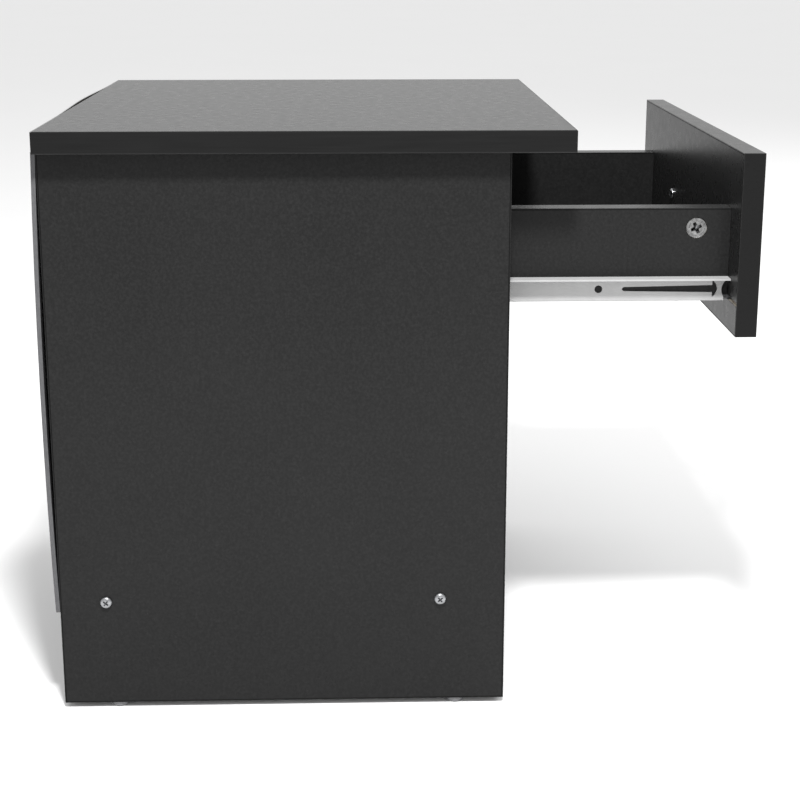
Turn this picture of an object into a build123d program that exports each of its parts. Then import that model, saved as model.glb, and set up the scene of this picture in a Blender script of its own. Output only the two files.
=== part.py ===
from build123d import *
import os

# Small one-drawer bedside table in melamine-faced particle board, all lengths in millimetres.
# +Z is up and the drawer opens towards -Y. The drawer stands partly open at rest.
# The origin is on the floor, under the middle of the table's overall box.

os.makedirs("parts", exist_ok=True)

# Overall sizes
BOARD = 15.0
TOP_WIDTH = 380.0
TOP_DEPTH = 360.0
HEIGHT = 420.0
SIDE_OVERHANG = 12.5
PANEL_DEPTH = 318.0
GLIDE_HEIGHT = 4.0
EDGE_BAND = 0.8
ARRIS = 0.4

# Lower shelf and hardboard back
SHELF_UNDERSIDE = 75.0
SHELF_SETBACK = 14.5
HARDBOARD = 3.0
BACK_BOW = 2.4
NAIL_HEAD_GAP = 0.1
LOOSE_BAND_BOW = 3.0

# Drawer
DRAWER_OPEN = 156.5
FRONT_HEIGHT = 128.0
FRONT_GAP = 2.5
RUNNER_GAP = 12.5
BOX_DEPTH = 300.0
SIDE_HEIGHT = 62.0
RUNNER_BELOW_FRONT_TOP = 108.0
GROOVE_DEPTH = 8.5

# Roller runners
SHEET = 1.2
RUNNER_HEIGHT = 17.5
FLANGE = 8.4
RUNNER_LENGTH = 300.0
ROLLER_DIAMETER = 13.0
ROLLER_WIDTH = 6.5
ROLLING_GAP = 0.3
RIVET_DIAMETER = 5.0

# Fittings
CAM_DIAMETER = 15.0
CAM_POCKET = 12.5
CAM_BACKSET = 24.0
CAM_CHANNEL = 8.0
BOLT_THREAD = 5.0
DOWEL_DIAMETER = 8.0
DOWEL_LENGTH = 29.0
HANDLE_CENTRES = 96.0
HANDLE_ROD = 10.0
HANDLE_REACH = 28.0

# Levels above the floor
TOP_Z = HEIGHT - BOARD
SHELF_Z = SHELF_UNDERSIDE
FRONT_TOP_Z = TOP_Z - FRONT_GAP
FRONT_Z = FRONT_TOP_Z - FRONT_HEIGHT
RUNNER_Z = FRONT_TOP_Z - RUNNER_BELOW_FRONT_TOP
DRAWER_BOTTOM_Z = RUNNER_Z + SHEET
DRAWER_SIDE_Z = DRAWER_BOTTOM_Z + HARDBOARD
HANDLE_Z = FRONT_TOP_Z - FRONT_HEIGHT / 2

# Half widths, from the middle of the table
CARCASS_X = TOP_WIDTH / 2 - SIDE_OVERHANG
INNER_X = CARCASS_X - BOARD
DRAWER_X = INNER_X - RUNNER_GAP
PANEL_MID_X = CARCASS_X - BOARD / 2

# Depths: the overall box is centred on the origin
LENGTH = HANDLE_REACH + BOARD + DRAWER_OPEN + PANEL_DEPTH + HARDBOARD + BACK_BOW
FACE_Y = -LENGTH / 2 + HANDLE_REACH + BOARD + DRAWER_OPEN
REAR_Y = FACE_Y + PANEL_DEPTH
DRAWER_Y = FACE_Y - DRAWER_OPEN

# Where the fittings sit, measured back from the front edge of the side panels
TOP_CAM_DEPTHS = (50.0, PANEL_DEPTH - 50.0)
TOP_DOWEL_DEPTHS = (95.0, PANEL_DEPTH - 95.0)
SHELF_SCREW_DEPTHS = (46.5, PANEL_DEPTH - 33.0)
GLIDE_DEPTHS = (35.0, PANEL_DEPTH - 39.0)
RUNNER_SCREW_DEPTHS = (37.0, 165.0, 261.0)
RUNNER_SETBACK = 2.0
FRONT_ROLLER_DEPTH = 16.0

# Where the fittings sit, measured back from the back face of the drawer front
DRAWER_CAM_Z = FRONT_TOP_Z - 56.0
DRAWER_DOWEL_Z = DRAWER_SIDE_Z + 20.0
FLANGE_SCREW_DEPTHS = (35.0, 150.0, 262.0)
REAR_ROLLER_DEPTH = 288.0
BACK_SCREW_LEVELS = (DRAWER_SIDE_Z + 24.0, DRAWER_SIDE_Z + 50.0)

# Levels of the two rollers and of the rails that they carry
FLANGE_UNDERSIDE_Z = RUNNER_Z + RUNNER_HEIGHT - SHEET
RAIL_Z = RUNNER_Z + 1.5
FRONT_ROLLER_Z = FLANGE_UNDERSIDE_Z - ROLLING_GAP - ROLLER_DIAMETER / 2
REAR_ROLLER_Z = RAIL_Z + ROLLING_GAP + ROLLER_DIAMETER / 2
RUNNER_SCREW_Z = FLANGE_UNDERSIDE_Z - 7.0

SIDES = (("left", -1), ("right", 1))


def drill(points, direction, diameter, depth):
    """Bores a blind hole into the current part at each point, going in along direction."""
    for point in points:
        with Locations(Plane(origin=point, z_dir=direction)):
            Cylinder(diameter / 2, depth, align=(Align.CENTER, Align.CENTER, Align.MIN), mode=Mode.SUBTRACT)


def place(part, points, direction):
    """Adds a copy of part at each point of the current part, its own +Z turned to direction."""
    for point in points:
        with Locations(Plane(origin=point, z_dir=direction)):
            add(part)


def board(width, depth, height, centre_x, front_y, base_z):
    """Adds a board with softly broken edges to the current part."""
    with Locations((centre_x, front_y, base_z)):
        solid = Box(width, depth, height, align=(Align.CENTER, Align.MIN, Align.MIN))
    fillet(solid.edges(), ARRIS)


def turned(points):
    """Revolves an outline of (radius, height) points about +Z in the current part."""
    with BuildSketch(Plane.XZ) as outline:
        with BuildLine():
            Polyline(*points, close=True)
        make_face()
    revolve(outline.sketch, axis=Axis.Z)


def cross_recess(span, blade, depth, height):
    """Cuts a Phillips cross into the current part, down from the given height."""
    with BuildSketch(Plane.XY.offset(height)) as cross:
        Rectangle(span, blade)
        Rectangle(blade, span)
    extrude(cross.sketch, amount=-depth, mode=Mode.SUBTRACT)


def pan_screw(head, rise, shank, length):
    """A pan-head Phillips screw whose head stands on the plane z = 0 and whose shank points to -Z."""
    with BuildPart() as screw:
        turned((
            (0, -length),
            (shank / 2, -length + shank),
            (shank / 2, 0),
            (head / 2, 0),
            (head / 2, rise * 0.45),
            (head * 0.44, rise * 0.8),
            (head * 0.3, rise),
            (0, rise),
        ))
        cross_recess(head * 0.56, head * 0.12, rise * 0.7, rise)
    return screw.part


def flat_screw(head, shank, length):
    """A countersunk Phillips screw with its head flush with z = 0."""
    with BuildPart() as screw:
        turned((
            (0, -length),
            (shank / 2, -length + shank),
            (shank / 2, (shank - head) / 2),
            (head / 2, 0),
            (0, 0),
        ))
        cross_recess(head * 0.56, head * 0.12, head * 0.2, 0)
    return screw.part


def wire_nail(head, rise, shank, length):
    """A flat-headed nail standing on the plane z = 0, its shank pointing to -Z."""
    with BuildPart() as nail:
        turned((
            (0, -length),
            (shank / 2, -length + shank),
            (shank / 2, 0),
            (head / 2, 0),
            (head / 2, rise),
            (0, rise),
        ))
    return nail.part


def cam_lock():
    """A die-cast cam whose face is at z = 0 and whose bolt comes in along +X."""
    with BuildPart() as cam:
        with BuildSketch(Plane.XY.offset(-CAM_POCKET + 0.5)):
            Circle(CAM_DIAMETER / 2 - 0.1)
        extrude(amount=CAM_POCKET - 0.5)
        chamfer(cam.edges().filter_by(GeomType.CIRCLE).group_by(Axis.Z)[-1], 0.5)
        with BuildSketch(Plane.YZ.offset(-2.5)):
            with Locations((0, -BOARD / 2)):
                Circle(CAM_CHANNEL / 2 - 0.3)
        extrude(amount=CAM_DIAMETER, mode=Mode.SUBTRACT)
        cross_recess(8.4, 1.9, 2.2, 0)
        for quadrant in ((-1, 1), (1, -1)):
            with BuildSketch(Plane.XY):
                with Locations((quadrant[0] * 3.1, quadrant[1] * 3.1)):
                    Circle(1.1)
            extrude(amount=-2.2, mode=Mode.SUBTRACT)
    return cam.part


def cam_bolt():
    """A cam's bolt: its thread goes down from z = 0 and its neck and head come up into the cam."""
    with BuildPart() as bolt:
        turned((
            (0, -11.0),
            (BOLT_THREAD / 2, -10.0),
            (BOLT_THREAD / 2, 0),
            (3.7, 0),
            (3.7, 2.0),
            (2.2, 2.6),
            (2.2, 18.6),
            (3.2, 19.6),
            (3.2, 23.6),
            (2.4, 24.6),
            (0, 24.6),
        ))
    return bolt.part


def dowel():
    """A fluted beech dowel, shown plain, with its lower end at z = 0."""
    with BuildPart() as peg:
        Cylinder(DOWEL_DIAMETER / 2, DOWEL_LENGTH, align=(Align.CENTER, Align.CENTER, Align.MIN))
        chamfer(peg.edges().filter_by(GeomType.CIRCLE), 1.0)
    return peg.part


def runner_roller():
    """A nylon roller that spins about its own Z, with its mid-plane at z = 0."""
    half = ROLLER_WIDTH / 2
    bore = RIVET_DIAMETER / 2 + 0.05
    with BuildPart() as roller:
        turned((
            (bore, -half),
            (4.0, -half),
            (4.0, -half + 1.2),
            (5.2, -half + 1.2),
            (5.2, -half),
            (ROLLER_DIAMETER / 2 - 0.4, -half),
            (ROLLER_DIAMETER / 2, -half + 0.4),
            (ROLLER_DIAMETER / 2, half - 0.4),
            (ROLLER_DIAMETER / 2 - 0.4, half),
            (5.2, half),
            (5.2, half - 1.2),
            (4.0, half - 1.2),
            (4.0, half),
            (bore, half),
        ))
    return roller.part


def roller_rivet():
    """The roller's axle: flush with its web's far face at z = 0, headed beyond the roller."""
    shoulder = SHEET + 0.4
    reach = shoulder + ROLLER_WIDTH + 0.2
    with BuildPart() as rivet:
        turned((
            (0, 0),
            (RIVET_DIAMETER / 2, 0),
            (RIVET_DIAMETER / 2, SHEET),
            (3.4, SHEET),
            (3.4, shoulder),
            (RIVET_DIAMETER / 2, shoulder),
            (RIVET_DIAMETER / 2, reach),
            (3.6, reach),
            (3.3, reach + 0.7),
            (0, reach + 0.7),
        ))
    return rivet.part


# Fittings that several places share
shelf_screw = pan_screw(8.6, 2.8, 4.0, 40.0)
runner_screw = pan_screw(6.5, 1.3, 3.2, 11.5)
handle_screw = pan_screw(8.4, 2.6, 4.0, 22.0)
box_screw = flat_screw(7.0, 3.6, 38.0)
back_nail = wire_nail(4.4, 0.6, 1.6, 20.0)
bottom_nail = wire_nail(3.6, 0.5, 1.4, 16.0)
glide_nail = wire_nail(5.0, 1.0, 2.2, 16.0)
cam = cam_lock()
bolt = cam_bolt()
peg = dowel()
wheel = runner_roller()
axle = roller_rivet()

# Places that both a hole and the fitting in it use
top_bolt_points = [(s * PANEL_MID_X, FACE_Y + d, TOP_Z) for _, s in SIDES for d in TOP_CAM_DEPTHS]
top_dowel_points = [(s * PANEL_MID_X, FACE_Y + d, TOP_Z) for _, s in SIDES for d in TOP_DOWEL_DEPTHS]
glide_points = [(s * PANEL_MID_X, FACE_Y + d, GLIDE_HEIGHT) for _, s in SIDES for d in GLIDE_DEPTHS]
drawer_bolt_points = [(s * (DRAWER_X - BOARD / 2), DRAWER_Y, DRAWER_CAM_Z) for _, s in SIDES]
drawer_dowel_points = [(s * (DRAWER_X - BOARD / 2), DRAWER_Y, DRAWER_DOWEL_Z) for _, s in SIDES]
handle_points = [(s * HANDLE_CENTRES / 2, DRAWER_Y, HANDLE_Z) for _, s in SIDES]

UP, DOWN = (0, 0, 1), (0, 0, -1)
FRONTWARD, BACKWARD = (0, -1, 0), (0, 1, 0)

# Top board: a core with an edge band on each side, and the rear band loose in its middle
top_front_y = REAR_Y - TOP_DEPTH
with BuildPart() as top_panel:
    with BuildSketch(Plane.XY.offset(TOP_Z)):
        with Locations((0, top_front_y + TOP_DEPTH / 2)):
            Rectangle(TOP_WIDTH - 2 * EDGE_BAND, TOP_DEPTH - 2 * EDGE_BAND)
    extrude(amount=BOARD)
    drill(top_bolt_points, UP, BOLT_THREAD, 11.5)
    drill(top_dowel_points, UP, DOWEL_DIAMETER, 10.5)
top_panel.part.label = "top_panel"
export_step(top_panel.part, "parts/top_panel.step")

with BuildPart() as top_edge_bands:
    with BuildSketch(Plane.XY.offset(TOP_Z)):
        with Locations((0, top_front_y + EDGE_BAND / 2)):
            Rectangle(TOP_WIDTH, EDGE_BAND)
        for _, side in SIDES:
            with Locations((side * (TOP_WIDTH - EDGE_BAND) / 2, top_front_y + TOP_DEPTH / 2)):
                Rectangle(EDGE_BAND, TOP_DEPTH - 2 * EDGE_BAND)
    extrude(amount=BOARD)
    chamfer(top_edge_bands.edges().filter_by(Axis.Y).group_by(Axis.X)[0], ARRIS)
    chamfer(top_edge_bands.edges().filter_by(Axis.Y).group_by(Axis.X)[-1], ARRIS)
    chamfer(top_edge_bands.edges().filter_by(Axis.X).group_by(Axis.Y)[0], ARRIS)
top_edge_bands.part.label = "top_edge_bands"
export_step(top_edge_bands.part, "parts/top_edge_bands.step")

# The rear band has come away over about two thirds of its length and stands out in a shallow bow
bow_start, bow_peak, bow_end = -115.0, 25.0, 145.0
with BuildPart() as top_rear_edge_band:
    with BuildSketch(Plane.XY.offset(TOP_Z)):
        with BuildLine():
            for inset in (0.0, EDGE_BAND):
                Line((-TOP_WIDTH / 2, REAR_Y - inset), (bow_start, REAR_Y - inset))
                Spline(
                    (bow_start, REAR_Y - inset),
                    (bow_peak, REAR_Y - inset + LOOSE_BAND_BOW),
                    (bow_end, REAR_Y - inset),
                    tangents=((1, 0), (1, 0)),
                )
                Line((bow_end, REAR_Y - inset), (TOP_WIDTH / 2, REAR_Y - inset))
            for _, side in SIDES:
                Line((side * TOP_WIDTH / 2, REAR_Y), (side * TOP_WIDTH / 2, REAR_Y - EDGE_BAND))
        make_face()
    extrude(amount=BOARD)
top_rear_edge_band.part.label = "top_rear_edge_band"
export_step(top_rear_edge_band.part, "parts/top_rear_edge_band.step")

# Side panels, drilled on their inner faces for the top's cams and the cabinet runners
for name, side in SIDES:
    outward = (side, 0, 0)
    shelf_screw_points = [
        (side * INNER_X, FACE_Y + depth, SHELF_Z + BOARD / 2) for depth in SHELF_SCREW_DEPTHS
    ]
    cam_points = [(side * INNER_X, FACE_Y + depth, TOP_Z - CAM_BACKSET) for depth in TOP_CAM_DEPTHS]
    runner_points = [(side * INNER_X, FACE_Y + depth, RUNNER_SCREW_Z) for depth in RUNNER_SCREW_DEPTHS]
    nail_points = [(side * PANEL_MID_X, REAR_Y, level) for level in (SHELF_Z + BOARD / 2, TOP_Z - 9.0)]
    with BuildPart() as side_panel:
        board(BOARD, PANEL_DEPTH, TOP_Z - GLIDE_HEIGHT, side * PANEL_MID_X, FACE_Y, GLIDE_HEIGHT)
        drill(shelf_screw_points, outward, 4.4, BOARD)
        drill(cam_points, outward, CAM_DIAMETER, CAM_POCKET)
        drill([p for p in top_bolt_points if p[0] * side > 0], DOWN, CAM_CHANNEL, CAM_BACKSET)
        drill([p for p in top_dowel_points if p[0] * side > 0], DOWN, DOWEL_DIAMETER, 20.0)
        drill(runner_points, outward, 3.2, 10.5)
        drill([p for p in glide_points if p[0] * side > 0], UP, 2.2, 13.5)
        drill(nail_points, FRONTWARD, 1.6, 18.0)
    side_panel.part.label = f"side_panel_{name}"
    export_step(side_panel.part, f"parts/side_panel_{name}.step")

# Lower shelf between the side panels, flush with their rear edges
back_nail_xs = (-100.0, 0.0, 100.0)
with BuildPart() as bottom_shelf:
    board(2 * INNER_X, PANEL_DEPTH - SHELF_SETBACK, BOARD, 0, FACE_Y + SHELF_SETBACK, SHELF_Z)
    for _, side in SIDES:
        end_points = [
            (side * INNER_X, FACE_Y + depth, SHELF_Z + BOARD / 2) for depth in SHELF_SCREW_DEPTHS
        ]
        drill(end_points, (-side, 0, 0), 4.0, 25.5)
    drill([(x, REAR_Y, SHELF_Z + BOARD / 2) for x in back_nail_xs], FRONTWARD, 1.6, 18.0)
bottom_shelf.part.label = "bottom_shelf"
export_step(bottom_shelf.part, "parts/bottom_shelf.step")

with BuildPart() as shelf_screws:
    for _, side in SIDES:
        head_points = [
            (side * CARCASS_X, FACE_Y + depth, SHELF_Z + BOARD / 2) for depth in SHELF_SCREW_DEPTHS
        ]
        place(shelf_screw, head_points, (side, 0, 0))
shelf_screws.part.label = "shelf_screws"
export_step(shelf_screws.part, "parts/shelf_screws.step")

# Hardboard back, nailed along its top corners and foot, so that it bows out between them
back_mid_z = (SHELF_Z + TOP_Z) / 2
corner_xs = (-PANEL_MID_X, PANEL_MID_X)
nail_levels = ((SHELF_Z + BOARD / 2, back_nail_xs + corner_xs), (TOP_Z - 9.0, corner_xs))
bow_share = 1 - ((TOP_Z - 9.0 - back_mid_z) / (TOP_Z - back_mid_z)) ** 2
nail_face_y = REAR_Y + HARDBOARD + BACK_BOW * bow_share + NAIL_HEAD_GAP
back_nail_points = [(x, nail_face_y, level) for level, xs in nail_levels for x in xs]
with BuildPart() as back_panel:
    with BuildSketch(Plane.YZ.offset(-CARCASS_X)):
        with BuildLine():
            for skin in (0.0, HARDBOARD):
                ThreePointArc(
                    (REAR_Y + skin, SHELF_Z),
                    (REAR_Y + skin + BACK_BOW, back_mid_z),
                    (REAR_Y + skin, TOP_Z),
                )
            for level in (SHELF_Z, TOP_Z):
                Line((REAR_Y, level), (REAR_Y + HARDBOARD, level))
        make_face()
    extrude(amount=2 * CARCASS_X)
    drill([(x, y + 1.0, z) for x, y, z in back_nail_points], FRONTWARD, 1.6, HARDBOARD + 2.0)
back_panel.part.label = "back_panel"
export_step(back_panel.part, "parts/back_panel.step")

with BuildPart() as back_panel_nails:
    place(back_nail, back_nail_points, BACKWARD)
back_panel_nails.part.label = "back_panel_nails"
export_step(back_panel_nails.part, "parts/back_panel_nails.step")

# Cams, bolts and dowels that hold the top on the side panels
with BuildPart() as top_cam_locks:
    for _, side in SIDES:
        for depth in TOP_CAM_DEPTHS:
            seat = Plane(
                origin=(side * INNER_X, FACE_Y + depth, TOP_Z - CAM_BACKSET), x_dir=UP, z_dir=(-side, 0, 0)
            )
            with Locations(seat):
                add(cam)
top_cam_locks.part.label = "top_cam_locks"
export_step(top_cam_locks.part, "parts/top_cam_locks.step")

with BuildPart() as top_cam_bolts:
    place(bolt, top_bolt_points, DOWN)
top_cam_bolts.part.label = "top_cam_bolts"
export_step(top_cam_bolts.part, "parts/top_cam_bolts.step")

with BuildPart() as top_dowels:
    place(peg, [(x, y, z - 19.0) for x, y, z in top_dowel_points], UP)
top_dowels.part.label = "top_dowels"
export_step(top_dowels.part, "parts/top_dowels.step")

# Nail-on plastic glides under the side panels
with BuildPart() as glides:
    for point in glide_points:
        with BuildSketch(Plane(origin=(point[0], point[1], 0))):
            Circle(6.6)
        extrude(amount=GLIDE_HEIGHT)
    fillet(glides.edges().filter_by(GeomType.CIRCLE).group_by(Axis.Z)[0], 1.4)
    drill([(x, y, 0) for x, y, _ in glide_points], UP, 5.4, 1.6)
    drill([(x, y, 0) for x, y, _ in glide_points], UP, 2.2, GLIDE_HEIGHT)
glides.part.label = "glides"
export_step(glides.part, "parts/glides.step")

with BuildPart() as glide_nails:
    place(glide_nail, [(x, y, 1.6) for x, y, _ in glide_points], DOWN)
glide_nails.part.label = "glide_nails"
export_step(glide_nails.part, "parts/glide_nails.step")

# Cabinet runners: a channel that the drawer's rear roller runs in, with a stop at its rear end
runner_rear = RUNNER_SETBACK + RUNNER_LENGTH
rail_x = INNER_X - SHEET
channel_top_z = RUNNER_Z + RUNNER_HEIGHT + 0.8
for name, side in SIDES:
    web = (rail_x, INNER_X)
    lower_rail = (rail_x - FLANGE, rail_x)
    upper_rail = (rail_x - FLANGE + 2.0, rail_x)
    strips = (
        (web, (RUNNER_SETBACK, runner_rear), (RAIL_Z - SHEET, channel_top_z + SHEET)),
        (lower_rail, (RUNNER_SETBACK, runner_rear), (RAIL_Z - SHEET, RAIL_Z)),
        (upper_rail, (45.0, runner_rear), (channel_top_z, channel_top_z + SHEET)),
        (lower_rail, (runner_rear - SHEET, runner_rear), (RAIL_Z, RAIL_Z + 8.0)),
    )
    with BuildPart() as cabinet_runner:
        for (x0, x1), (y0, y1), (z0, z1) in strips:
            with Locations((side * (x0 + x1) / 2, FACE_Y + (y0 + y1) / 2, (z0 + z1) / 2)):
                Box(x1 - x0, y1 - y0, z1 - z0)
        corner = cabinet_runner.edges().filter_by(Axis.Y).group_by(Axis.Z)[0]
        fillet(corner.sort_by(Axis.X)[-1 if side > 0 else 0], 1.0)
        web_points = [(side * rail_x, FACE_Y + depth, RUNNER_SCREW_Z) for depth in RUNNER_SCREW_DEPTHS]
        drill(web_points, (side, 0, 0), 3.4, SHEET)
        spare_points = [(side * rail_x, FACE_Y + depth, RUNNER_SCREW_Z) for depth in (69.0, 197.0)]
        drill(spare_points, (side, 0, 0), 5.0, SHEET)
        drill([(side * rail_x, FACE_Y + FRONT_ROLLER_DEPTH, FRONT_ROLLER_Z)], (side, 0, 0), RIVET_DIAMETER, SHEET)
    cabinet_runner.part.label = f"cabinet_runner_{name}"
    export_step(cabinet_runner.part, f"parts/cabinet_runner_{name}.step")

with BuildPart() as cabinet_runner_screws:
    for _, side in SIDES:
        points = [(side * rail_x, FACE_Y + depth, RUNNER_SCREW_Z) for depth in RUNNER_SCREW_DEPTHS]
        place(runner_screw, points, (-side, 0, 0))
cabinet_runner_screws.part.label = "cabinet_runner_screws"
export_step(cabinet_runner_screws.part, "parts/cabinet_runner_screws.step")

# Drawer runners: a flange under the box, a web up its side and a flange out over the front roller
hole_z = RUNNER_Z + 8.8
web_face_x = DRAWER_X + SHEET
for name, side in SIDES:
    front_end, rear_end = DRAWER_Y + 0.3, DRAWER_Y + 298.0
    with BuildPart() as drawer_runner:
        with BuildSketch(Plane.XZ.offset(-front_end)):
            with BuildLine():
                Polyline(
                    (side * (DRAWER_X - 12.0), RUNNER_Z),
                    (side * web_face_x, RUNNER_Z),
                    (side * web_face_x, FLANGE_UNDERSIDE_Z),
                    (side * (web_face_x + FLANGE), FLANGE_UNDERSIDE_Z),
                    (side * (web_face_x + FLANGE), FLANGE_UNDERSIDE_Z + SHEET),
                    (side * DRAWER_X, FLANGE_UNDERSIDE_Z + SHEET),
                    (side * DRAWER_X, RUNNER_Z + SHEET),
                    (side * (DRAWER_X - 12.0), RUNNER_Z + SHEET),
                    close=True,
                )
            make_face()
        extrude(amount=-(rear_end - front_end))
        bend = drawer_runner.edges().filter_by(Axis.Y).group_by(Axis.Z)[0]
        fillet(bend.sort_by(Axis.X)[-1 if side > 0 else 0], 1.0)
        # The web's front end is scooped away below the flange
        with BuildSketch(Plane.YZ.offset(side * (DRAWER_X - 13.0))):
            with BuildLine():
                Polyline(
                    (front_end - 1, RUNNER_Z - 1),
                    (DRAWER_Y + 3.0, RUNNER_Z - 1),
                    (DRAWER_Y + 3.0, RUNNER_Z + 3.0),
                )
                ThreePointArc(
                    (DRAWER_Y + 3.0, RUNNER_Z + 3.0),
                    (DRAWER_Y + 4.6, RUNNER_Z + 8.5),
                    (front_end, FLANGE_UNDERSIDE_Z - 0.6),
                )
                Polyline(
                    (front_end, FLANGE_UNDERSIDE_Z - 0.6),
                    (front_end - 1, FLANGE_UNDERSIDE_Z - 0.6),
                    (front_end - 1, RUNNER_Z - 1),
                )
            make_face()
        extrude(amount=side * (13.0 + SHEET + FLANGE + 1), mode=Mode.SUBTRACT)
        # Tapered slot that ends in a D-shaped cut, and a row of round holes behind it
        with BuildSketch(Plane.YZ.offset(side * (DRAWER_X - 1))):
            with BuildLine():
                Polyline(
                    (DRAWER_Y + 11.2, hole_z - 2.6),
                    (DRAWER_Y + 73.8, hole_z - 1.5),
                    (DRAWER_Y + 75.3, hole_z),
                    (DRAWER_Y + 73.8, hole_z + 1.5),
                    (DRAWER_Y + 11.2, hole_z + 2.6),
                    (DRAWER_Y + 11.2, hole_z + 6.0),
                )
                ThreePointArc(
                    (DRAWER_Y + 11.2, hole_z + 6.0),
                    (DRAWER_Y + 7.7, hole_z),
                    (DRAWER_Y + 11.2, hole_z - 6.0),
                )
                Line((DRAWER_Y + 11.2, hole_z - 6.0), (DRAWER_Y + 11.2, hole_z - 2.6))
            make_face()
            with Locations(*[(DRAWER_Y + depth, hole_z) for depth in (91.6, 187.6, 251.6)]):
                Circle(2.75)
        extrude(amount=side * (SHEET + 2), mode=Mode.SUBTRACT)
        flange_points = [(side * (DRAWER_X - 6.5), DRAWER_Y + d, RUNNER_Z) for d in FLANGE_SCREW_DEPTHS]
        drill(flange_points, UP, 3.4, SHEET)
        rivet_point = (side * web_face_x, DRAWER_Y + REAR_ROLLER_DEPTH, REAR_ROLLER_Z)
        drill([rivet_point], (-side, 0, 0), RIVET_DIAMETER, SHEET)
    drawer_runner.part.label = f"drawer_runner_{name}"
    export_step(drawer_runner.part, f"parts/drawer_runner_{name}.step")

with BuildPart() as drawer_runner_screws:
    for _, side in SIDES:
        points = [(side * (DRAWER_X - 6.5), DRAWER_Y + d, RUNNER_Z) for d in FLANGE_SCREW_DEPTHS]
        place(runner_screw, points, DOWN)
drawer_runner_screws.part.label = "drawer_runner_screws"
export_step(drawer_runner_screws.part, "parts/drawer_runner_screws.step")

# Rollers on their rivets: the front pair turns on the cabinet runners, the rear pair on the drawer's
wheel_stand = SHEET + 0.5 + ROLLER_WIDTH / 2
for name, side in SIDES:
    with BuildPart() as front_roller:
        spot = (side * (INNER_X - wheel_stand), FACE_Y + FRONT_ROLLER_DEPTH, FRONT_ROLLER_Z)
        place(wheel, [spot], (side, 0, 0))
    front_roller.part.label = f"front_roller_{name}"
    export_step(front_roller.part, f"parts/front_roller_{name}.step")
    with BuildPart() as rear_roller:
        spot = (side * (DRAWER_X + wheel_stand), DRAWER_Y + REAR_ROLLER_DEPTH, REAR_ROLLER_Z)
        place(wheel, [spot], (side, 0, 0))
    rear_roller.part.label = f"rear_roller_{name}"
    export_step(rear_roller.part, f"parts/rear_roller_{name}.step")

with BuildPart() as front_roller_rivets:
    for _, side in SIDES:
        place(axle, [(side * INNER_X, FACE_Y + FRONT_ROLLER_DEPTH, FRONT_ROLLER_Z)], (-side, 0, 0))
front_roller_rivets.part.label = "front_roller_rivets"
export_step(front_roller_rivets.part, "parts/front_roller_rivets.step")

with BuildPart() as rear_roller_rivets:
    for _, side in SIDES:
        place(axle, [(side * DRAWER_X, DRAWER_Y + REAR_ROLLER_DEPTH, REAR_ROLLER_Z)], (side, 0, 0))
rear_roller_rivets.part.label = "rear_roller_rivets"
export_step(rear_roller_rivets.part, "parts/rear_roller_rivets.step")

# Drawer front, grooved along its back for the hardboard bottom, with its end bands closing the groove
with BuildPart() as drawer_front:
    board(2 * CARCASS_X, BOARD, FRONT_HEIGHT, 0, DRAWER_Y - BOARD, FRONT_Z)
    with BuildSketch(Plane.XY.offset(DRAWER_BOTTOM_Z - 0.1)):
        with Locations((0, DRAWER_Y - GROOVE_DEPTH / 2)):
            Rectangle(2 * (CARCASS_X - EDGE_BAND), GROOVE_DEPTH)
    extrude(amount=HARDBOARD + 0.2, mode=Mode.SUBTRACT)
    drill(drawer_bolt_points, FRONTWARD, BOLT_THREAD, 11.5)
    drill(drawer_dowel_points, FRONTWARD, DOWEL_DIAMETER, 10.5)
    drill(handle_points, FRONTWARD, 4.4, BOARD)
drawer_front.part.label = "drawer_front"
export_step(drawer_front.part, "parts/drawer_front.step")

back_end_y = DRAWER_Y + BOX_DEPTH - BOARD / 2
for name, side in SIDES:
    side_mid_x = side * (DRAWER_X - BOARD / 2)
    with BuildPart() as drawer_side:
        board(BOARD, BOX_DEPTH, SIDE_HEIGHT, side_mid_x, DRAWER_Y, DRAWER_SIDE_Z)
        drill([(side * DRAWER_X, DRAWER_Y + CAM_BACKSET, DRAWER_CAM_Z)], (-side, 0, 0), CAM_DIAMETER, CAM_POCKET)
        drill([(side_mid_x, DRAWER_Y, DRAWER_CAM_Z)], BACKWARD, CAM_CHANNEL, CAM_BACKSET)
        drill([(side_mid_x, DRAWER_Y, DRAWER_DOWEL_Z)], BACKWARD, DOWEL_DIAMETER, 20.0)
        for level in BACK_SCREW_LEVELS:
            with Locations(Plane(origin=(side * DRAWER_X, back_end_y, level), z_dir=(side, 0, 0))):
                CounterSinkHole(1.8, 3.5, BOARD)
        flange_points = [(side * (DRAWER_X - 6.5), DRAWER_Y + d, DRAWER_SIDE_Z) for d in FLANGE_SCREW_DEPTHS]
        drill(flange_points, UP, 3.2, 8.0)
    drawer_side.part.label = f"drawer_side_{name}"
    export_step(drawer_side.part, f"parts/drawer_side_{name}.step")

bottom_nail_points = [(x, back_end_y, DRAWER_BOTTOM_Z) for x in (-90.0, 0.0, 90.0)]
with BuildPart() as drawer_back:
    board(2 * (DRAWER_X - BOARD), BOARD, SIDE_HEIGHT, 0, back_end_y - BOARD / 2, DRAWER_SIDE_Z)
    for _, side in SIDES:
        end_points = [(side * (DRAWER_X - BOARD), back_end_y, level) for level in BACK_SCREW_LEVELS]
        drill(end_points, (-side, 0, 0), 3.6, 23.5)
    drill([(x, y, DRAWER_SIDE_Z) for x, y, _ in bottom_nail_points], UP, 1.4, 14.0)
drawer_back.part.label = "drawer_back"
export_step(drawer_back.part, "parts/drawer_back.step")

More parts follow.
